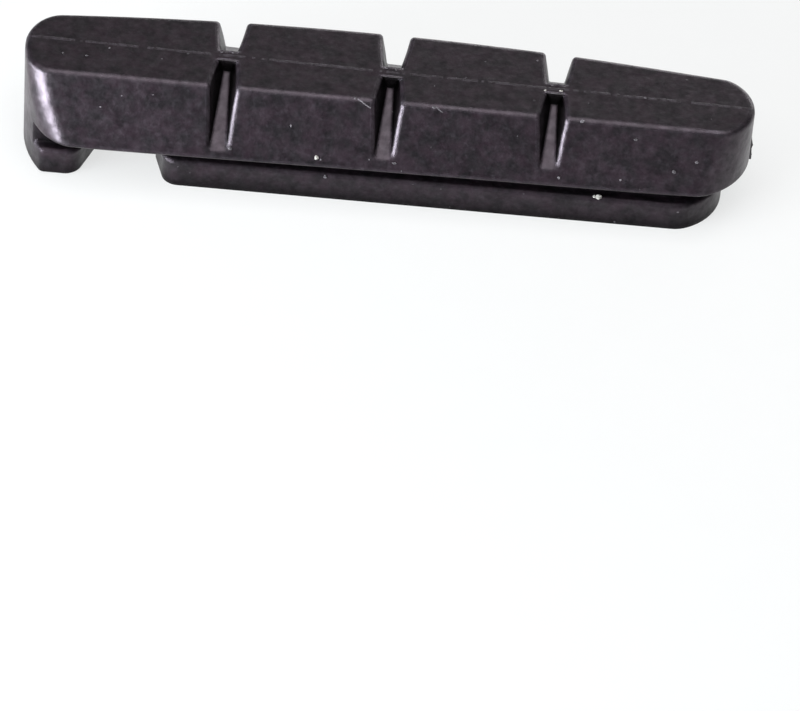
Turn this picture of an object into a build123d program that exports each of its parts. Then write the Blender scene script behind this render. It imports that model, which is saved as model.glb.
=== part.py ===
"""Bicycle rim brake pad: the one-piece rubber insert that slides into a pad holder.

The pad is moulded in two halves that part along its long middle plane and open sideways,
so every slot, and the notch behind the rail, widens away from that plane.

Frame: +X to the rounded front end, -X to the retaining head, +Z to the braking face.
The near side is -Y and the far side is +Y.
The origin lies on the back of the rail, at the middle of the pad.
"""
import math
import os

from build123d import *

os.makedirs("parts", exist_ok=True)

# Friction block
pad_length = 55.0
block_thickness = 4.95
base_width_rear = 13.75
base_width_front = 10.3
base_front_bow = 3.4
base_front_corner = 3.0
face_near_rear = 3.7
face_near_front = 3.05
face_far_rear = 2.3
face_far_middle = 4.4
face_far_front = 3.0
face_front_bow = 2.0
face_front_corner = 1.6
rear_end_radius = 8.4
near_rear_corner = 2.0
far_rear_corner = 2.7
face_edge_radius = 0.45
base_edge_bevel = 0.2

# Rail, neck and retaining head
rail_thickness = 2.4
neck_height = 1.6
rail_width_rear = 10.75
rail_width_front = 8.75
rail_overhang = 1.0
rail_front_setback = 1.8
rail_front_bow = 3.0
rail_front_corner = 2.5
head_corner = 0.5
rail_edge_bevel = 0.2

# Notch between the retaining head and the rail
head_length = 5.7
notch_width = 4.3
notch_head_draft = 2.0
notch_rail_draft = 8.0
notch_mouth_flare = 19.0
notch_flare_start = 2.2
notch_floor_fall = 8.0
notch_root_radius = 1.2
notch_rail_corner = 1.3

# Slots across the braking face
slot_count = 3
slot_pitch = 12.35
slot_offset = 0.13
slot_web = 1.1
slot_inner_depth = 1.1
slot_floor_land = 0.1
slot_mouth_inner = 1.35
slot_mouth_draft = 5.0
slot_floor_inner = 0.5
slot_floor_draft = 4.4
slot_root_radius = 0.2
slot_rim_radius = 0.35

# Levels, ends and half widths that follow from the sizes above
front_x = pad_length / 2
rear_x = -pad_length / 2
neck_z = rail_thickness
base_z = neck_z + neck_height
face_z = base_z + block_thickness
rail_front_x = front_x - rail_front_setback
base_half = (base_width_rear / 2, base_width_front / 2)
rail_half = (rail_width_rear / 2, rail_width_front / 2)
neck_half = (rail_half[0] - rail_overhang, rail_half[1] - rail_overhang)
slot_floor_drop = block_thickness - slot_inner_depth - slot_floor_land
slot_floor_slope = slot_floor_drop / (base_half[0] - slot_web / 2)

# Cutters run past the pad by this much
overrun = 1.0
side_reach = base_width_rear / 2 + overrun


def rise(angle, run):
    """Height that a slope of this many degrees gains over a run."""
    return run * math.tan(math.radians(angle))


def plan(level, tip_x, bow, corner, near, far, far_middle=None):
    """Plan of the pad at one level, its front end bowed out to the tip.

    The near and far sides are given by their rear and front distances from the middle plane.
    The rear end is square and overlong, and is cut to its round later.
    """
    rear_end = rear_x - overrun
    shoulder = tip_x - bow
    with BuildSketch(Plane.XY.offset(level)) as outline:
        with BuildLine():
            near_side = Line((rear_end, -near[0]), (shoulder, -near[1]))
            front = ThreePointArc(near_side @ 1, (tip_x, 0), (shoulder, far[1]))
            if far_middle is None:
                far_side = Line(front @ 1, (rear_end, far[0]))
            else:
                far_side = ThreePointArc(front @ 1, (0, far_middle), (rear_end, far[0]))
            Line(far_side @ 1, near_side @ 0)
        make_face()
        fillet(outline.vertices().sort_by(Axis.X)[2:], corner)
    return outline.sketch


def near_side_plane(distance, level):
    """Upright plane that faces the near side, this far out from the middle plane."""
    return Plane(origin=(0, -distance, level), x_dir=(1, 0, 0), z_dir=(0, -1, 0))


def slot_section(distance):
    """Cross-section of a slot, this far out from its inner wall."""
    mouth = slot_mouth_inner / 2 + rise(slot_mouth_draft, distance)
    floor = slot_floor_inner / 2 + rise(slot_floor_draft, distance)
    depth = slot_inner_depth + slot_floor_slope * distance
    top = mouth + (mouth - floor) / depth * overrun
    with BuildSketch(near_side_plane(slot_web / 2 + distance, face_z)) as section:
        with BuildLine():
            Polyline((-floor, -depth), (floor, -depth), (top, overrun), (-top, overrun), close=True)
        make_face()
        fillet(section.vertices().sort_by(Axis.Y)[:2], slot_root_radius)
    return section.sketch


def notch_section(distance, flare_run=0):
    """Cross-section of the notch: drafted this far out, then flared over a further run."""
    flare = rise(notch_mouth_flare, flare_run)
    head_side = rear_x + head_length - rise(notch_head_draft, distance) - flare
    rail_side = rear_x + head_length + notch_width + rise(notch_rail_draft, distance) + flare
    floor = neck_z + rise(notch_floor_fall, distance + flare_run)
    with BuildSketch(near_side_plane(distance + flare_run, 0)) as section:
        with BuildLine():
            Polyline(
                (head_side, -overrun), (rail_side, -overrun), (rail_side, floor), (head_side, floor), close=True)
        make_face()
        fillet(section.vertices().sort_by(Axis.Y)[2:], notch_root_radius)
    return section.sketch


with BuildPart() as slot_cutter:
    loft([slot_section(0), slot_section(side_reach)], ruled=True)
    mirror(about=Plane.XZ)

with BuildPart() as notch_cutter:
    flare = notch_flare_start
    loft([notch_section(0), notch_section(flare), notch_section(flare, side_reach - flare)], ruled=True)
    mirror(about=Plane.XZ)

with BuildPart() as rear_cutter:
    with BuildSketch(Plane.XY.offset(-overrun)):
        with Locations((rear_x, 0)):
            Rectangle(2 * rear_end_radius, 2 * side_reach)
        with Locations((rear_x + rear_end_radius, 0)):
            Circle(rear_end_radius, mode=Mode.SUBTRACT)
    extrude(amount=face_z + 2 * overrun)

# Friction block, wider at its base than at the braking face
with BuildPart() as block:
    base = plan(base_z, front_x, base_front_bow, base_front_corner, base_half, base_half)
    face_near = (face_near_rear, face_near_front)
    face_far = (face_far_rear, face_far_front)
    face = plan(face_z, front_x, face_front_bow, face_front_corner, face_near, face_far, face_far_middle)
    loft([base, face], ruled=True)
    add(rear_cutter.part, mode=Mode.SUBTRACT)
    upright = edges().filter_by_position(Axis.Z, base_z + overrun, face_z - overrun)
    near_corner, far_corner = upright.sort_by(Axis.X)[:2].sort_by(Axis.Y)
    fillet(near_corner, near_rear_corner)
    fillet(far_corner, far_rear_corner)
    chamfer(faces().sort_by(Axis.Z)[0].edges(), base_edge_bevel)
    fillet(faces().sort_by(Axis.Z)[-1].edges(), face_edge_radius)
    # Slots leave a web at the middle plane, and their rims are rounded over up to it
    with Locations((slot_offset, 0, 0)):
        with GridLocations(slot_pitch, 0, slot_count, 1):
            add(slot_cutter.part, mode=Mode.SUBTRACT)
    fillet(edges(Select.NEW).filter_by(Axis.X, reverse=True), slot_rim_radius)

# Rail and retaining head, with the undercut groove that leaves the neck
with BuildPart() as rail:
    extrude(
        plan(0, rail_front_x, rail_front_bow, rail_front_corner, rail_half, rail_half), amount=base_z + overrun)
    add(rear_cutter.part, mode=Mode.SUBTRACT)
    fillet(edges().filter_by(Axis.Z).sort_by(Axis.X)[:2], head_corner)
    add(notch_cutter.part, mode=Mode.SUBTRACT)
    mouth = edges(Select.NEW).filter_by_position(Axis.Z, 0, neck_z, (False, False))
    fillet(mouth.sort_by(Axis.X)[-2:], notch_rail_corner)
    neck_bow = rail_front_bow * neck_half[1] / rail_half[1]
    neck_corner = rail_front_corner * neck_half[1] / rail_half[1]
    with BuildSketch(Plane.XY.offset(neck_z)):
        Rectangle(pad_length + 4 * overrun, 2 * side_reach)
        add(
            plan(neck_z, rail_front_x - rail_overhang, neck_bow, neck_corner, neck_half, neck_half),
            mode=Mode.SUBTRACT)
    extrude(amount=neck_height + 2 * overrun, mode=Mode.SUBTRACT)
    chamfer(edges(Select.NEW).filter_by_position(Axis.Z, neck_z, neck_z), rail_edge_bevel)
    chamfer(faces().sort_by(Axis.Z)[0].edges(), rail_edge_bevel)

with BuildPart() as brake_pad:
    add(block.part)
    add(rail.part)

brake_pad.part.label = "brake_pad"
export_step(brake_pad.part, "parts/brake_pad.step")
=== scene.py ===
"""Looks of a bicycle rim brake pad: one piece of moulded rubber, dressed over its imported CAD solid."""
import math
import random

import bmesh
import bpy
from bpy.props import FloatProperty, FloatVectorProperty, IntProperty, PointerProperty
from mathutils import Euler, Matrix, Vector, noise
from mathutils.bvhtree import BVHTree


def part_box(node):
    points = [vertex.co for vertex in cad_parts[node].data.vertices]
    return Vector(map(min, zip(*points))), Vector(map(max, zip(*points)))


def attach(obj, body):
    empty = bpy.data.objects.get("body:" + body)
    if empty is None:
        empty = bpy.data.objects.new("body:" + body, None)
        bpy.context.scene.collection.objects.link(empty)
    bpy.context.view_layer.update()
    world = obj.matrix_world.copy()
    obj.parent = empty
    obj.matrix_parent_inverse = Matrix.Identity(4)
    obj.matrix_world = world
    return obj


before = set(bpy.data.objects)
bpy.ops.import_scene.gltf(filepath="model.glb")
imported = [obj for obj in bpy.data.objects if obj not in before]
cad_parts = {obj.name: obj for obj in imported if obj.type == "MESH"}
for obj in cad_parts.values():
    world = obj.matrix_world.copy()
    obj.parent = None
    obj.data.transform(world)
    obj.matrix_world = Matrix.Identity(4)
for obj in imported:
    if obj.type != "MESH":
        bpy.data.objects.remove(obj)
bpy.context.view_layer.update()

bl_info = {
    "name": "Rim Brake Pad",
    "version": (1, 0, 0),
    "blender": (4, 5, 0),
    "location": "View3D > Sidebar > Brake Pad",
    "description": "Finishes a moulded rubber brake pad and sets up its studio",
    "category": "Object",
}

MM = 0.001
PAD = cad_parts["brake_pad"]
PAD_LOW, PAD_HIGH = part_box("brake_pad")
ACROSS = Vector((0, 1, 0))
UP = Vector((0, 0, 1))

# Heights between which the dull skin of the rail turns into the glossier skin of the block
DULL_BELOW = 4.0 * MM
GLOSSY_ABOVE = 4.9 * MM
RAIL_GLOSS = 0.34
BLOCK_GLOSS = 0.5
# Heights between which the bloom on the edges, partly real rubbing and partly a painted highlight, grows to
# its full strength
FAINT_BLOOM_BELOW = 4.2 * MM
FULL_BLOOM_ABOVE = 6.5 * MM
FAINT_BLOOM = 0.05
# Shares of bloom in the speckle and in the flash, and of the haze that lies over the gloss
SPECKLE_BLOOM = 0.053
FLASH_BLOOM = 0.2
HAZE_SHARE = 0.3
# How much smoother and rougher than usual the skin is in places, and how much rougher the flash is
SMOOTHER_BY = 0.04
ROUGHER_BY = 0.08
FLASH_ROUGHER_BY = 0.05
# Rays that tell an edge or a corner from a flat
EDGE_RAYS = 6

# Cross-section of a ridge: places across its half width, each with its share of the height
RIDGE_SECTION = ((-1, 0), (-0.45, 0.7), (0, 1), (0.45, 0.6), (1, 0))
# Strips on top of a ridge, which are shaded smooth
RIDGE_TOP = (1, 2)
# Depths in the skin of a ridge's foot and of its low places
FOOT_DEPTH = 0.012 * MM
SUNK_DEPTH = 0.006 * MM
# Shares of the flash's height where it looks to the front, to the floor and up
FRONT_FLASH = 1.3
FLOOR_FLASH = 0.2
FACE_FLASH = 0.75
# Least part of a direction along one side that counts as looking to that side
FACING = 0.7
# Finer breaks in an uneven line: how many to one slow change, and how strong
FINE_BREAKS = 3.7
FINE_SHARE = 0.6
# Runs in millimetres over which the flash rises and falls, and over which it strays
RISE_RUN = 1.3
WANDER_RUN = 4.0
# Fewest points and widest gap of a whole outline of the pad
FEWEST_POINTS = 50
WIDEST_GAP = 1 * MM
# Steps up the front nib, those over which it fades at its top, its depth in the pad and its least reach
NIB_STEPS = 26
NIB_FADE = 9
NIB_ROOT = 0.1 * MM
NIB_LEAST = 0.01 * MM
# Length of a step up the nib, and the run of its tears, in millimetres
NIB_STEP = 0.09
NIB_RUN = 0.5
# Middles of the webs that the slots leave, and half the length and width of a web, in millimetres
WEB_MIDDLES = (-12.22, 0.13, 12.48)
WEB_HALF_LENGTH = 0.7
WEB_HALF_WIDTH = 0.5
# Steps along a burr, and those over which it fades at each end
BURR_STEPS = 28
BURR_FADE = 4
# Length of a step along a burr, and the run of its tears, in millimetres
BURR_STEP = 0.05
BURR_RUN = 0.35
# Steps along a scuff, and the shares of its length over which it strays and over which it rises
SCUFF_STEPS = 24
SCUFF_WANDER_RUN = 0.5
SCUFF_RISE_RUN = 0.2
# Added to a seed, so that no two lines are uneven in the same way
WANDER_SEED = 20
NIB_SEED = 40
BURR_SEED = 60
SCUFF_SEED = 9
# Least and most stretch of a crumb along the skin, across it and off it
CRUMB_STRETCH = ((0.7, 1.5), (0.7, 1.3), (0.35, 0.6))
# Lumps on a crumb: how many to its radius, how high, and how far apart crumbs take theirs
LUMP_COUNT = 1.2
LUMP_HEIGHT = 0.6
LUMP_DRIFT = 50
# Least and most size of a speck, as shares of the usual one
SPECK_SPREAD = (0.6, 1.5)

# Places of the crumbs that show most, in millimetres, each with its radius
PALE_CRUMBS = (
    ((-4.8, -5.7, 4.74), 0.17), ((16.2, -4.3, 2.4), 0.17), ((16.5, -4.3, 2.4), 0.19),
    ((11.7, -0.3, 8.95), 0.1), ((12.9, -0.2, 8.95), 0.11))
DULL_CRUMBS = (
    ((-6.9, -4.67, 6.72), 0.1), ((21.9, -4.44, 5.81), 0.12), ((23.5, -4.05, 6.64), 0.09),
    ((18.8, -3.61, 7.88), 0.1), ((18.0, -4.94, 4.91), 0.09), ((-4.1, -4.9, 2.2), 0.11),
    ((-24.5, -1.6, 8.95), 0.1), ((-22.7, -1.6, 8.95), 0.11), ((-21.1, -0.5, 8.95), 0.1),
    ((11.0, -1.6, 8.95), 0.11), ((10.9, 3.0, 8.95), 0.1), ((19.2, 0, 8.95), 0.09),
    ((5.7, 0.2, 8.95), 0.09), ((-15.2, -0.2, 8.95), 0.1), ((14.7, -3.3, 8.9), 0.1),
    ((3.6, -3.4, 8.9), 0.1), ((-2.3, -3.3, 8.9), 0.1), ((-0.3, 0.4, 8.95), 0.1),
    ((12.2, 0.35, 8.95), 0.11), ((-11.3, -6.05, 5.0), 0.13), ((1.05, -5.95, 5.0), 0.13),
    ((13.4, -5.8, 5.0), 0.13), ((-12.7, 0.3, 8.95), 0.11), ((-11.9, 0.35, 8.95), 0.09),
    ((0.4, 0.35, 8.95), 0.1))
# Ends of the scuffs, in millimetres
SCUFFS = (
    ((-2.2, -3.38, 8.95), (-1.1, -3.67, 8.37)),
    ((3.6, -3.31, 8.95), (4.3, -3.51, 8.54)))
# Darkest and palest shade of each kind of crumb
PALE_SHADES = ((0.3, 0.28, 0.26), (0.55, 0.53, 0.5))
DULL_SHADES = ((0.03, 0.026, 0.03), (0.15, 0.135, 0.15))

# Shades of the paper, the share of plain white that it shows, and the width of the floor in metres
PAPER_SHADES = ((0.87, 0.875, 0.875), (0.89, 0.895, 0.895))
PAPER_WHITE = 0.7
FLOOR_SIZE = 8
# Colours of the lamps
WINDOW = (0.9, 0.96, 1.0)
WHITE = (1, 1, 1)
# Lamps, each with its place and aim, its width and height in metres, and its colour
LAMPS = (
    ("key", (-0.16, -0.12, 0.025), (0, 0, 0.004), (0.13, 0.05), WINDOW),
    ("left", (-0.19, -0.04, 0.014), (0, 0, 0.004), (0.1, 0.024), WINDOW),
    ("top", (0, -0.1, 0.4), (0, 0, 0), (0.45, 0.45), WHITE),
    ("back", (0, 0.3, 0.3), (0, 0, 0), (0.25, 0.25), WHITE),
    ("fill", (0.1, 0.36, 0.075), (0, 0, 0.005), (0.3, 0.1), WHITE),
    ("side", (-0.035, -0.1, 0.045), (-0.015, 0, 0.006), (0.04, 0.03), WHITE))


class RubberFinish(bpy.types.PropertyGroup):
    """Finish of the moulded rubber."""

    colour: FloatVectorProperty(
        name="Colour", description="Colour of the rubber", subtype="COLOR", default=(0.0034, 0.0030, 0.0036))
    warm_patch: FloatVectorProperty(
        name="Warm patch", description="Colour of its warm, paler patches", subtype="COLOR",
        default=(0.0130, 0.0076, 0.0110))
    # Pale bloom, used on the rubbed edges (partly a painted highlight there), in the speckle and in the
    # flash
    bloom: FloatVectorProperty(
        name="Bloom", description="Colour of the pale bloom on rubbed edges", subtype="COLOR",
        default=(0.258, 0.23, 0.275))
    # Painted shade: near black laid over the deep walls of the slots and the undercut groove
    deep: FloatVectorProperty(
        name="Deep", description="Colour of the walls deep in the slots", subtype="COLOR",
        default=(0.002, 0.002, 0.002))
    sheen: FloatVectorProperty(
        name="Sheen", description="Tint of the skin's reflections", subtype="COLOR",
        default=(1.0, 0.84, 0.98))
    haze: FloatVectorProperty(
        name="Haze", description="Tint of the soft haze over the skin", subtype="COLOR",
        default=(1.0, 0.97, 1.0))
    patch_size: FloatProperty(
        name="Patch size", description="Size of the warm patches", unit="LENGTH", default=1.2 * MM)
    speckle_size: FloatProperty(
        name="Speckle size", description="Size of the fine speckle", unit="LENGTH", default=0.4 * MM)
    wear_size: FloatProperty(
        name="Wear size", description="Size of the breaks in the bloom", unit="LENGTH", default=0.9 * MM)
    mottle_size: FloatProperty(
        name="Mottle size", description="Size of the places that shine more or less", unit="LENGTH",
        default=0.7 * MM)
    matt_size: FloatProperty(
        name="Matt size", description="Size of the more and less matt places", unit="LENGTH",
        default=1.3 * MM)
    roughness: FloatProperty(
        name="Roughness", description="How matt the moulded skin is", subtype="FACTOR", default=0.32,
        min=0, max=1)
    haze_roughness: FloatProperty(
        name="Haze roughness", description="How soft the haze is", subtype="FACTOR", default=0.45,
        min=0, max=1)
    grain: FloatProperty(
        name="Grain", description="Size of the skin's fine grain", unit="LENGTH", default=0.4 * MM)
    grain_depth: FloatProperty(
        name="Grain depth", description="Depth of the skin's fine grain", unit="LENGTH", default=0.011 * MM)
    swell: FloatProperty(
        name="Swell", description="Size of the skin's slow swells", unit="LENGTH", default=1.7 * MM)
    swell_depth: FloatProperty(
        name="Swell depth", description="Depth of the skin's slow swells", unit="LENGTH", default=0.03 * MM)
    edge_width: FloatProperty(
        name="Edge width", description="Reach of the bloom from an edge", unit="LENGTH", default=0.4 * MM)
    edge_softness: FloatProperty(
        name="Edge softness", description="Radius that an edge shows in the light", unit="LENGTH",
        default=0.4 * MM)


class PartingFlash(bpy.types.PropertyGroup):
    """Thin flash that the mould leaves where its halves meet."""

    width: FloatProperty(
        name="Width", description="Half the width of the flash", unit="LENGTH", default=0.24 * MM)
    height: FloatProperty(
        name="Height", description="Usual height of the flash", unit="LENGTH", default=0.016 * MM)
    step: FloatProperty(
        name="Step", description="Distance between its points", unit="LENGTH", default=0.1 * MM)
    wander: FloatProperty(
        name="Wander", description="How far it strays sideways", unit="LENGTH", default=0.07 * MM)
    nib: FloatProperty(
        name="Nib", description="Reach of the nib at the front end", unit="LENGTH", default=0.16 * MM)
    nib_foot: FloatProperty(
        name="Nib foot", description="Height at which the nib begins", unit="LENGTH", default=3.95 * MM)
    nib_height: FloatProperty(
        name="Nib height", description="Height of the nib itself", unit="LENGTH", default=2.3 * MM)
    film: FloatProperty(
        name="Film", description="Half the thickness of the nib's edge", unit="LENGTH", default=0.035 * MM)
    near_burr: FloatProperty(
        name="Near burr", description="Height of the burrs on the near edges of the webs", unit="LENGTH",
        default=0.03 * MM)
    far_burr: FloatProperty(
        name="Far burr", description="Height of the burrs on the far edges of the webs", unit="LENGTH",
        default=0.07 * MM)
    burr_width: FloatProperty(
        name="Burr width", description="Half the width of a burr", unit="LENGTH", default=0.09 * MM)
    seed: IntProperty(name="Seed", description="Choice of its uneven places", default=7)


class SkinMarks(bpy.types.PropertyGroup):
    """Crumbs, dust and scuffs on the skin."""

    count: IntProperty(name="Count", description="Number of scattered specks", default=110)
    speck: FloatProperty(
        name="Speck", description="Usual radius of a speck", unit="LENGTH", default=0.04 * MM)
    scuff_height: FloatProperty(
        name="Scuff height", description="Height of a scuff", unit="LENGTH", default=0.03 * MM)
    scuff_width: FloatProperty(
        name="Scuff width", description="Half the width of a scuff", unit="LENGTH", default=0.07 * MM)
    scuff_wander: FloatProperty(
        name="Scuff wander", description="How far a scuff strays sideways", unit="LENGTH", default=0.08 * MM)
    seed: IntProperty(name="Seed", description="Choice of the scattered places", default=3)


class Studio(bpy.types.PropertyGroup):
    """Camera and light."""

    aim: FloatVectorProperty(
        name="Aim", description="Point that the camera looks at", subtype="TRANSLATION",
        default=(3.286 * MM, -25.822 * MM, 4.5 * MM))
    distance: FloatProperty(
        name="Distance", description="From the camera to its aim", unit="LENGTH", default=432.47 * MM)
    elevation: FloatProperty(
        name="Elevation", description="Angle of the camera over the floor", subtype="ANGLE",
        default=math.radians(43.748))
    heading: FloatProperty(
        name="Heading", description="Turn of the camera about the upright", subtype="ANGLE",
        default=math.radians(1.972))
    roll: FloatProperty(
        name="Roll", description="Turn of the camera about its own line of sight", subtype="ANGLE",
        default=math.radians(4.49))
    lens: FloatProperty(name="Lens", description="Focal length", subtype="DISTANCE_CAMERA", default=268.91)
    key_power: FloatProperty(
        name="Key", description="Power of the small low light at the left", subtype="POWER", default=0.92)
    left_power: FloatProperty(
        name="Left", description="Power of the low light off the rear end", subtype="POWER", default=0.25)
    top_power: FloatProperty(
        name="Top", description="Power of the wide soft light overhead", subtype="POWER", default=1.75)
    back_power: FloatProperty(
        name="Back", description="Power of the soft light behind", subtype="POWER", default=0.05)
    fill_power: FloatProperty(
        name="Fill", description="Power of the low soft light on the far side", subtype="POWER", default=0.4)
    side_power: FloatProperty(
        name="Side", description="Power of the soft light at the left of the camera", subtype="POWER",
        default=0.0008)
    sky: FloatProperty(name="Sky", description="Strength of the even light all round", default=0.05)


def new_node(tree, kind, **settings):
    """Add a node and set its inputs by name, and its own settings by attribute."""
    node = tree.nodes.new(kind)
    for name, value in settings.items():
        if name in node.inputs:
            node.inputs[name].default_value = value
        else:
            setattr(node, name, value)
    return node


def new_material(name):
    """New material, with its nodes, its shader and the place on the object that its patterns follow."""
    material = bpy.data.materials.new(name)
    material.use_nodes = True
    tree = material.node_tree
    place = new_node(tree, "ShaderNodeTexCoord").outputs["Object"]
    return material, tree, tree.nodes["Principled BSDF"], place


def ramp(tree, value, low, high, start=0.0, end=1.0):
    """Value that runs evenly from its start at the low level to its end at the high one."""
    levels = {"From Min": low, "From Max": high, "To Min": start, "To Max": end}
    node = new_node(tree, "ShaderNodeMapRange", **levels)
    tree.links.new(value, node.inputs["Value"])
    return node.outputs["Result"]


def spots(tree, place, size, low, high, detail=4):
    """Soft spots of one size, as a share that runs from none at the low level to all at the high one."""
    pattern = new_node(tree, "ShaderNodeTexNoise", Scale=1 / size, Detail=detail, Roughness=0.6)
    tree.links.new(place, pattern.inputs["Vector"])
    return ramp(tree, pattern.outputs["Fac"], low, high)


def times(tree, first, second):
    """Product of two shares, or of a share and a number."""
    product = new_node(tree, "ShaderNodeMath", operation="MULTIPLY")
    tree.links.new(first, product.inputs[0])
    if isinstance(second, float):
        product.inputs[1].default_value = second
    else:
        tree.links.new(second, product.inputs[1])
    return product.outputs[0]


def laid_over(tree, under, colour, share):
    """Colour laid over another one by a share."""
    blend = new_node(tree, "ShaderNodeMix", data_type="RGBA")
    if isinstance(under, bpy.types.NodeSocket):
        tree.links.new(under, blend.inputs["A"])
    else:
        blend.inputs["A"].default_value = (*under, 1)
    blend.inputs["B"].default_value = (*colour, 1)
    tree.links.new(share, blend.inputs["Factor"])
    return blend.outputs["Result"]


def raised(tree, pattern, depth, under=None):
    """Normal of a skin that is raised by a pattern, over an earlier normal where there is one."""
    relief = new_node(tree, "ShaderNodeBump", Distance=depth, Strength=1.0)
    tree.links.new(pattern, relief.inputs["Height"])
    if under is not None:
        tree.links.new(under, relief.inputs["Normal"])
    return relief.outputs["Normal"]


def height_of(tree, vector):
    """Upright part of a place or of a direction."""
    parts = new_node(tree, "ShaderNodeSeparateXYZ")
    tree.links.new(vector, parts.inputs["Vector"])
    return parts.outputs["Z"]


def by_slope(tree, low, high):
    """Share by how far a surface looks up: none at the low level, all at the high one."""
    surface = new_node(tree, "ShaderNodeNewGeometry")
    return ramp(tree, height_of(tree, surface.outputs["Normal"]), low, high)


def by_openness(tree, reach, low, high):
    """Share by how open a surface lies within a reach: none at the low level, all at the high one."""
    shade = new_node(tree, "ShaderNodeAmbientOcclusion", samples=EDGE_RAYS, Distance=reach)
    return ramp(tree, shade.outputs["AO"], low, high)


def rubbed_edges_and_highlight(tree, width):
    """Share of rubbed skin and of painted highlight: all on an outer edge that looks up, none on a flat or
    in an inner corner.
    """
    rounded = new_node(tree, "ShaderNodeBevel", samples=EDGE_RAYS, Radius=width)
    surface = new_node(tree, "ShaderNodeNewGeometry")
    turn = new_node(tree, "ShaderNodeVectorMath", operation="DOT_PRODUCT")
    tree.links.new(rounded.outputs["Normal"], turn.inputs[0])
    tree.links.new(surface.outputs["Normal"], turn.inputs[1])
    turned = ramp(tree, turn.outputs["Value"], low=0.995, high=0.9)
    edge = times(tree, turned, by_openness(tree, reach=3 * width, low=0.75, high=0.95))
    return times(tree, edge, by_slope(tree, low=0.05, high=0.45))


def painted_deep_shade(tree):
    """Share of painted shade on the steep walls deep in the slots and in the undercut groove, by how closed
    in they lie.
    """
    deep = by_openness(tree, reach=2.5 * MM, low=0.9, high=0.5)
    return times(tree, deep, by_slope(tree, low=0.75, high=0.4))


def gloss_level(tree, place, finish, walls):
    """Strength of the reflection: mottled, duller on the rail and nearly none on the deep walls that carry
    painted shade.
    """
    patches = spots(tree, place, finish.mottle_size, low=0.3, high=0.7)
    mottle = ramp(tree, patches, 0, 1, start=0.65, end=1.35)
    level = ramp(tree, height_of(tree, place), DULL_BELOW, GLOSSY_ABOVE, RAIL_GLOSS, BLOCK_GLOSS)
    return times(tree, times(tree, level, mottle), ramp(tree, walls, 0, 1, start=1.0, end=0.1))


def rubber_material(finish):
    """Satin charcoal rubber, mottled and finely grained, with a pale bloom on its rubbed edges that is
    partly a painted highlight, and painted shade on its deep walls.
    """
    material, tree, shader, place = new_material("moulded_rubber")
    link = tree.links.new
    walls = painted_deep_shade(tree)
    patches = spots(tree, place, finish.patch_size, low=0.38, high=0.62)
    speckle = times(tree, spots(tree, place, finish.speckle_size, low=0.5, high=0.8), SPECKLE_BLOOM)
    breaks = spots(tree, place, finish.wear_size, low=0.15, high=0.55)
    strength = ramp(tree, height_of(tree, place), FAINT_BLOOM_BELOW, FULL_BLOOM_ABOVE, start=FAINT_BLOOM)
    # Real wear and painted highlight: pale bloom on the outer edges that look up, strongest high on the
    # block
    worn = times(tree, times(tree, rubbed_edges_and_highlight(tree, finish.edge_width), breaks), strength)
    skin = laid_over(tree, finish.colour, finish.warm_patch, patches)
    skin = laid_over(tree, skin, finish.bloom, speckle)
    skin = laid_over(tree, skin, finish.bloom, worn)
    # Painted shade: the deep walls are darkened to near black where ambient occlusion finds them closed in
    skin = laid_over(tree, skin, finish.deep, walls)
    link(skin, shader.inputs["Base Color"])

    matt_places = spots(tree, place, finish.matt_size, low=0.3, high=0.7)
    smoothest = finish.roughness - SMOOTHER_BY
    roughest = finish.roughness + ROUGHER_BY
    matt = ramp(tree, matt_places, 0, 1, start=smoothest, end=roughest)
    gloss = gloss_level(tree, place, finish, walls)
    link(matt, shader.inputs["Roughness"])
    link(gloss, shader.inputs["Specular IOR Level"])
    shader.inputs["Specular Tint"].default_value = (*finish.sheen, 1)
    link(times(tree, gloss, HAZE_SHARE), shader.inputs["Coat Weight"])
    shader.inputs["Coat Roughness"].default_value = finish.haze_roughness
    shader.inputs["Coat Tint"].default_value = (*finish.haze, 1)

    rounded = new_node(tree, "ShaderNodeBevel", samples=EDGE_RAYS, Radius=finish.edge_softness)
    swells = spots(tree, place, finish.swell, low=0.2, high=0.8, detail=2)
    grain = spots(tree, place, finish.grain, low=0.2, high=0.8)
    swollen = raised(tree, swells, finish.swell_depth, rounded.outputs["Normal"])
    grained = raised(tree, grain, finish.grain_depth, swollen)
    link(grained, shader.inputs["Normal"])
    link(grained, shader.inputs["Coat Normal"])
    return material


class BRAKEPAD_OT_finish_rubber(bpy.types.Operator):
    """Give the moulded pad its rubber skin"""

    bl_idname = "brakepad.finish_rubber"
    bl_label = "Finish Rubber"

    def execute(self, context):
        PAD.data.materials.clear()
        PAD.data.materials.append(rubber_material(context.scene.rubber_finish))
        return {"FINISHED"}


def flash_material(finish):
    """Rubber stretched thin and rubbed pale."""
    material, tree, shader, place = new_material("rubbed_flash")
    rubbed = times(tree, spots(tree, place, size=0.5 * MM, low=0.35, high=0.65), FLASH_BLOOM)
    creases = spots(tree, place, size=0.15 * MM, low=0.2, high=0.8, detail=3)
    tree.links.new(laid_over(tree, finish.warm_patch, finish.bloom, rubbed), shader.inputs["Base Color"])
    tree.links.new(raised(tree, creases, depth=0.01 * MM), shader.inputs["Normal"])
    shader.inputs["Roughness"].default_value = finish.roughness + FLASH_ROUGHER_BY
    return material


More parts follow.
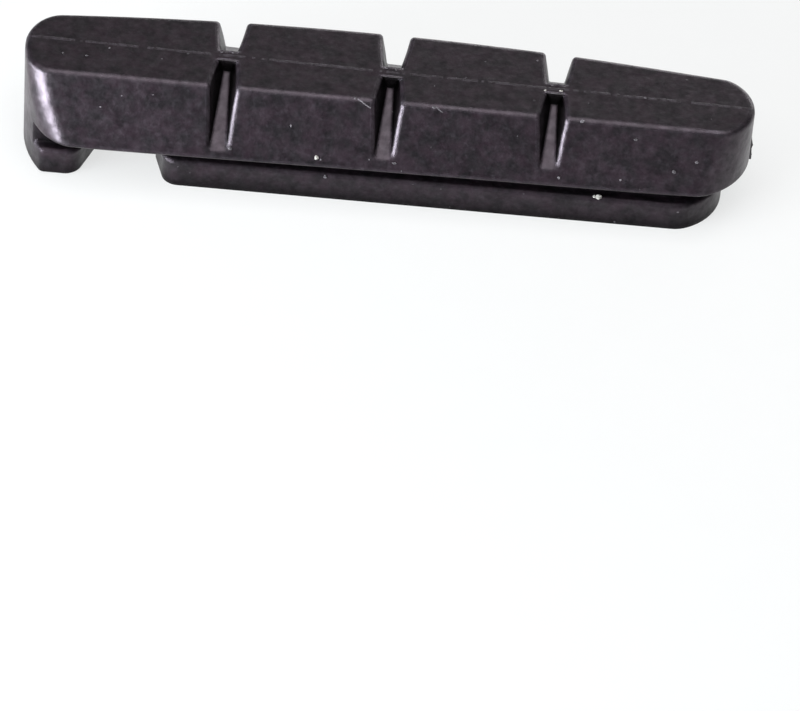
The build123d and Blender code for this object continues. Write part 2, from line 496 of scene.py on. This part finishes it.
def middle_outline():
    """Outline of the pad on its middle plane, as points in order round it."""
    near = 0.0005 * MM
    cut = bmesh.new()
    cut.from_mesh(PAD.data)
    bmesh.ops.remove_doubles(cut, verts=cut.verts, dist=near)
    everything = cut.verts[:] + cut.edges[:] + cut.faces[:]
    parted = bmesh.ops.bisect_plane(cut, geom=everything, dist=near, plane_co=(0, 0, 0), plane_no=ACROSS)
    beside = {}
    for edge in parted["geom_cut"]:
        if isinstance(edge, bmesh.types.BMEdge):
            beside.setdefault(edge.verts[0], []).append(edge.verts[1])
            beside.setdefault(edge.verts[1], []).append(edge.verts[0])
    start = max(beside, key=lambda vert: vert.co.x)
    ring = [start]
    seen = {start}
    while True:
        onward = [vert for vert in beside[ring[-1]] if vert not in seen]
        if not onward:
            break
        ring.append(onward[0])
        seen.add(onward[0])
    points = [Vector((vert.co.x, 0, vert.co.z)) for vert in ring]
    cut.free()
    if len(points) < FEWEST_POINTS or (points[0] - points[-1]).length > WIDEST_GAP:
        raise RuntimeError("the middle plane's outline doesn't close")
    return points


def even_points(points, step):
    """Points at even distances round a closed outline."""
    ring = points + points[:1]
    runs = [(end - start).length for start, end in zip(ring, ring[1:])]
    count = round(sum(runs) / step)
    spacing = sum(runs) / count
    even = []
    passed = 0.0
    run = 0
    for number in range(count):
        while passed + runs[run] < number * spacing:
            passed += runs[run]
            run += 1
        even.append(ring[run].lerp(ring[run + 1], (number * spacing - passed) / runs[run]))
    return even


def uneven(along, run, seed):
    """Uneven value from about -1 to 1 that changes slowly along a line, with finer breaks in it."""
    slow = noise.noise(Vector((along / run, seed, 0.3)))
    fine = noise.noise(Vector((along / run * FINE_BREAKS, seed, 4.1)))
    return slow + FINE_SHARE * fine


def ragged(along, run, seed, mean, swing=1.0, least=0.0):
    """Share of a height that swings about its mean along a line."""
    return max(least, mean + swing * uneven(along, run, seed))


def join_rows(mesh, rows, closed, smooth=()):
    """Faces of a tube through rows of points, which is capped at its ends or closes on itself."""
    pairs = list(zip(rows, rows[1:]))
    if closed:
        pairs.append((rows[-1], rows[0]))
    else:
        mesh.faces.new(rows[0])
        mesh.faces.new(rows[-1][::-1])
    count = len(rows[0])
    for row, after in pairs:
        for k in range(count):
            face = mesh.faces.new((row[k], row[(k + 1) % count], after[(k + 1) % count], after[k]))
            face.smooth = k in smooth


def add_ridge(mesh, path, ups, across, heights, width, closed):
    """Low ridge along a path, as a tube with its foot and its low places sunk into the skin."""
    rows = []
    for point, up, height in zip(path, ups, heights):
        row = []
        for side, share in RIDGE_SECTION:
            lift = -FOOT_DEPTH
            if share:
                lift = height * share if height > 0 else -SUNK_DEPTH
            row.append(mesh.verts.new(point + across * (side * width) + up * lift))
        rows.append(row)
    join_rows(mesh, rows, closed, RIDGE_TOP)


def flash_share(up):
    """Share of the flash's usual height: most at the front, low on the worn face, least on the floor."""
    if up.x > FACING:
        return FRONT_FLASH
    if up.z < -FACING:
        return FLOOR_FLASH
    if up.z > FACING:
        return FACE_FLASH
    return 1.0


def add_parting_ridge(mesh, flash):
    """Ridge of flash all round the middle plane."""
    path = even_points(middle_outline(), flash.step)
    count = len(path)
    area = sum(a.x * b.z - b.x * a.z for a, b in zip(path, path[1:] + path[:1]))
    ups = []
    heights = []
    places = []
    for k, point in enumerate(path):
        along = path[(k + 1) % count] - path[k - 1]
        up = Vector((along.z, 0, -along.x)).normalized()
        up = up if area > 0 else -up
        passed = k * flash.step / MM
        rise = ragged(passed, RISE_RUN, flash.seed, mean=0.35, swing=0.9)
        stray = flash.wander * uneven(passed, WANDER_RUN, flash.seed + WANDER_SEED)
        ups.append(up)
        heights.append(flash.height * flash_share(up) * rise)
        places.append(point + ACROSS * stray)
    add_ridge(mesh, places, ups, ACROSS, heights, flash.width, True)


def add_front_nib(mesh, flash):
    """Thin torn film that stands out of the front end above its lower edge."""
    root = PAD_HIGH.x - NIB_ROOT
    film = flash.film
    rows = []
    for k in range(NIB_STEPS + 1):
        level = PAD_LOW.z + flash.nib_foot + flash.nib_height * k / NIB_STEPS
        fade = min(1.0, (NIB_STEPS - k) / NIB_FADE)
        torn = ragged(k * NIB_STEP, NIB_RUN, flash.seed + NIB_SEED, mean=0.8, swing=0.35)
        tip = PAD_HIGH.x + max(NIB_LEAST, flash.nib * fade * torn)
        section = ((root, -2 * film), (tip, -film), (tip, film), (root, 2 * film))
        rows.append([mesh.verts.new((x, y, level)) for x, y in section])
    join_rows(mesh, rows, False)


def add_web_burrs(mesh, flash):
    """Ragged burrs along both edges of the webs that the slots leave."""
    for number, middle in enumerate(WEB_MIDDLES):
        for side, top in ((-1, flash.near_burr), (1, flash.far_burr)):
            seed = flash.seed + BURR_SEED + 2 * number + side
            path = []
            heights = []
            for k in range(BURR_STEPS + 1):
                passed = k * BURR_STEP
                fade = min(1.0, k / BURR_FADE, (BURR_STEPS - k) / BURR_FADE)
                x = (middle - WEB_HALF_LENGTH + passed) * MM
                path.append(Vector((x, side * WEB_HALF_WIDTH * MM, PAD_HIGH.z)))
                heights.append(top * fade * ragged(passed, BURR_RUN, seed, mean=0.5, least=0.1))
            add_ridge(mesh, path, [UP] * len(path), ACROSS, heights, flash.burr_width, False)


def new_piece(name, mesh, material):
    """Object for a finished mesh, that rides on the pad."""
    bmesh.ops.recalc_face_normals(mesh, faces=mesh.faces)
    data = bpy.data.meshes.new(name)
    mesh.to_mesh(data)
    mesh.free()
    data.materials.append(material)
    piece = bpy.data.objects.new(name, data)
    bpy.context.scene.collection.objects.link(piece)
    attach(piece, "root")


class BRAKEPAD_OT_make_flash(bpy.types.Operator):
    """Make the flash along the mould's parting line, the front nib and the burrs on the webs"""

    bl_idname = "brakepad.make_flash"
    bl_label = "Make Parting Flash"

    def execute(self, context):
        flash = context.scene.parting_flash
        material = flash_material(context.scene.rubber_finish)
        ridge = bmesh.new()
        add_parting_ridge(ridge, flash)
        new_piece("parting_flash", ridge, material)
        torn = bmesh.new()
        add_front_nib(torn, flash)
        add_web_burrs(torn, flash)
        new_piece("torn_flash", torn, material)
        return {"FINISHED"}


def add_crumb(mesh, skin, place, radius, chance):
    """Lumpy crumb that sits half sunk on the nearest skin."""
    spot, up = skin.find_nearest(place)[:2]
    turn = up.to_track_quat("Z", "Y")
    stretch = Vector([chance.uniform(least, most) for least, most in CRUMB_STRETCH])
    drift = Vector((chance.uniform(0, LUMP_DRIFT), chance.uniform(0, LUMP_DRIFT), 0))
    lump = bmesh.ops.create_icosphere(mesh, subdivisions=2, radius=1)
    for vert in lump["verts"]:
        reach = radius * (1 + LUMP_HEIGHT * noise.noise(LUMP_COUNT * vert.co + drift))
        vert.co = spot + turn @ (vert.co * stretch * reach)


def add_scuff(mesh, skin, start, end, marks, seed):
    """Fine raised tear between two places on the skin."""
    path = []
    ups = []
    heights = []
    for k in range(SCUFF_STEPS + 1):
        share = k / SCUFF_STEPS
        stray = ACROSS * (marks.scuff_wander * uneven(share, SCUFF_WANDER_RUN, seed))
        spot, up = skin.find_nearest(start.lerp(end, share) + stray)[:2]
        torn = ragged(share, SCUFF_RISE_RUN, seed + SCUFF_SEED, mean=0.7, least=0.2)
        path.append(spot)
        ups.append(up)
        heights.append(marks.scuff_height * math.sin(math.pi * share) * torn)
    across = (end - start).cross(ups[SCUFF_STEPS // 2]).normalized()
    add_ridge(mesh, path, ups, across, heights, marks.scuff_width, False)


def crumb_material(name, dark, pale):
    """Dry crumbs of rubber and dust, each of its own shade."""
    material, tree, shader, place = new_material(name)
    shade = laid_over(tree, dark, pale, spots(tree, place, size=0.7 * MM, low=0.35, high=0.65))
    pits = spots(tree, place, size=0.08 * MM, low=0.2, high=0.8, detail=3)
    tree.links.new(shade, shader.inputs["Base Color"])
    tree.links.new(raised(tree, pits, depth=0.02 * MM), shader.inputs["Normal"])
    shader.inputs["Roughness"].default_value = 0.8
    return material


class BRAKEPAD_OT_mark_skin(bpy.types.Operator):
    """Put crumbs, dust and scuffs on the skin"""

    bl_idname = "brakepad.mark_skin"
    bl_label = "Mark Skin"

    def execute(self, context):
        marks = context.scene.skin_marks
        chance = random.Random(marks.seed)
        solid = bmesh.new()
        solid.from_mesh(PAD.data)
        skin = BVHTree.FromBMesh(solid)
        solid.free()
        pale = bmesh.new()
        for place, radius in PALE_CRUMBS:
            add_crumb(pale, skin, Vector(place) * MM, radius * MM, chance)
        new_piece("pale_crumbs", pale, crumb_material("pale_crumb", *PALE_SHADES))
        dull = bmesh.new()
        for place, radius in DULL_CRUMBS:
            add_crumb(dull, skin, Vector(place) * MM, radius * MM, chance)
        for number in range(marks.count):
            place = [chance.uniform(low, high) for low, high in zip(PAD_LOW, PAD_HIGH)]
            add_crumb(dull, skin, Vector(place), marks.speck * chance.uniform(*SPECK_SPREAD), chance)
        for number, (start, end) in enumerate(SCUFFS):
            add_scuff(dull, skin, Vector(start) * MM, Vector(end) * MM, marks, marks.seed + number)
        new_piece("dull_crumbs", dull, crumb_material("dull_crumb", *DULL_SHADES))
        return {"FINISHED"}


def look_matrix(studio):
    """Place and turn of the camera."""
    turn = Euler((math.pi / 2 - studio.elevation, 0, studio.heading)).to_matrix()
    turn = turn @ Euler((0, 0, studio.roll)).to_matrix()
    matrix = turn.to_4x4()
    matrix.translation = Vector(studio.aim) + turn @ Vector((0, 0, studio.distance))
    return matrix


def area_light(name, place, aim, size, colour, power):
    """Soft light that points from one place to another."""
    lamp = bpy.data.lights.new(name, "AREA")
    lamp.shape = "RECTANGLE"
    lamp.size, lamp.size_y = size
    lamp.energy = power
    lamp.color = colour
    light = bpy.data.objects.new(name, lamp)
    light.location = place
    light.rotation_mode = "QUATERNION"
    light.rotation_quaternion = (Vector(aim) - Vector(place)).to_track_quat("-Z", "Y")
    bpy.context.scene.collection.objects.link(light)


def background_share(tree):
    """One where a ray shows the background: seen straight, mirrored or through glass."""
    path = new_node(tree, "ShaderNodeLightPath")
    mirrored = new_node(tree, "ShaderNodeMath", operation="MAXIMUM")
    through = new_node(tree, "ShaderNodeMath", operation="MAXIMUM")
    tree.links.new(path.outputs["Is Camera Ray"], mirrored.inputs[0])
    tree.links.new(path.outputs["Is Glossy Ray"], mirrored.inputs[1])
    tree.links.new(mirrored.outputs[0], through.inputs[0])
    tree.links.new(path.outputs["Is Transmission Ray"], through.inputs[1])
    return through.outputs[0]


def paper_material():
    """White paper with a faint tooth, that shows nearly white and keeps a soft shadow."""
    material, tree, paper, place = new_material("white_paper")
    link = tree.links.new
    tooth = spots(tree, place, size=3 * MM, low=0.3, high=0.7)
    link(laid_over(tree, *PAPER_SHADES, tooth), paper.inputs["Base Color"])
    paper.inputs["Roughness"].default_value = 0.9
    paper.inputs["Specular IOR Level"].default_value = 0.2
    white = new_node(tree, "ShaderNodeEmission", Color=(0.99, 1, 1, 1), Strength=1.0)
    blend = new_node(tree, "ShaderNodeMixShader")
    link(times(tree, background_share(tree), PAPER_WHITE), blend.inputs["Fac"])
    link(paper.outputs["BSDF"], blend.inputs[1])
    link(white.outputs["Emission"], blend.inputs[2])
    link(blend.outputs["Shader"], tree.nodes["Material Output"].inputs["Surface"])
    return material


class BRAKEPAD_OT_set_studio(bpy.types.Operator):
    """Set up the floor, the soft light and the camera"""

    bl_idname = "brakepad.set_studio"
    bl_label = "Set Up Studio"

    def execute(self, context):
        scene = context.scene
        studio = scene.studio
        bpy.ops.mesh.primitive_plane_add(size=FLOOR_SIZE, location=(0, 0, PAD_LOW.z))
        floor = context.object
        floor.name = "floor"
        floor.data.materials.append(paper_material())

        world = bpy.data.worlds.new("studio_sky")
        world.use_nodes = True
        scene.world = world
        background = world.node_tree.nodes["Background"]
        background.inputs["Strength"].default_value = studio.sky
        background.inputs["Color"].default_value = (*WHITE, 1)
        for name, place, aim, size, colour in LAMPS:
            area_light(name, place, aim, size, colour, getattr(studio, name + "_power"))

        camera = bpy.data.cameras.new("camera")
        camera.lens = studio.lens
        camera.sensor_width = 36
        camera.clip_start = 0.01
        viewer = bpy.data.objects.new("camera", camera)
        viewer.matrix_world = look_matrix(studio)
        scene.collection.objects.link(viewer)
        scene.camera = viewer
        scene.view_settings.view_transform = "Standard"
        return {"FINISHED"}


class BRAKEPAD_PT_panel(bpy.types.Panel):
    """Pieces and finish of the brake pad"""

    bl_idname = "BRAKEPAD_PT_panel"
    bl_label = "Brake Pad"
    bl_space_type = "VIEW_3D"
    bl_region_type = "UI"
    bl_category = "Brake Pad"

    def draw(self, context):
        for operator in OPERATORS:
            self.layout.operator(operator.bl_idname)


OPERATORS = (
    BRAKEPAD_OT_finish_rubber, BRAKEPAD_OT_make_flash, BRAKEPAD_OT_mark_skin, BRAKEPAD_OT_set_studio)
CLASSES = (RubberFinish, PartingFlash, SkinMarks, Studio, *OPERATORS, BRAKEPAD_PT_panel)


def register():
    """Make the settings, the operators and the panel known."""
    for cls in CLASSES:
        bpy.utils.register_class(cls)
    bpy.types.Scene.rubber_finish = PointerProperty(type=RubberFinish)
    bpy.types.Scene.parting_flash = PointerProperty(type=PartingFlash)
    bpy.types.Scene.skin_marks = PointerProperty(type=SkinMarks)
    bpy.types.Scene.studio = PointerProperty(type=Studio)


def unregister():
    """Take the settings, the operators and the panel away again."""
    del bpy.types.Scene.studio
    del bpy.types.Scene.skin_marks
    del bpy.types.Scene.parting_flash
    del bpy.types.Scene.rubber_finish
    for cls in reversed(CLASSES):
        bpy.utils.unregister_class(cls)


def main():
    """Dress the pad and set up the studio."""
    register()
    bpy.ops.brakepad.finish_rubber()
    bpy.ops.brakepad.make_flash()
    bpy.ops.brakepad.mark_skin()
    bpy.ops.brakepad.set_studio()


if __name__ == "__main__":
    main()
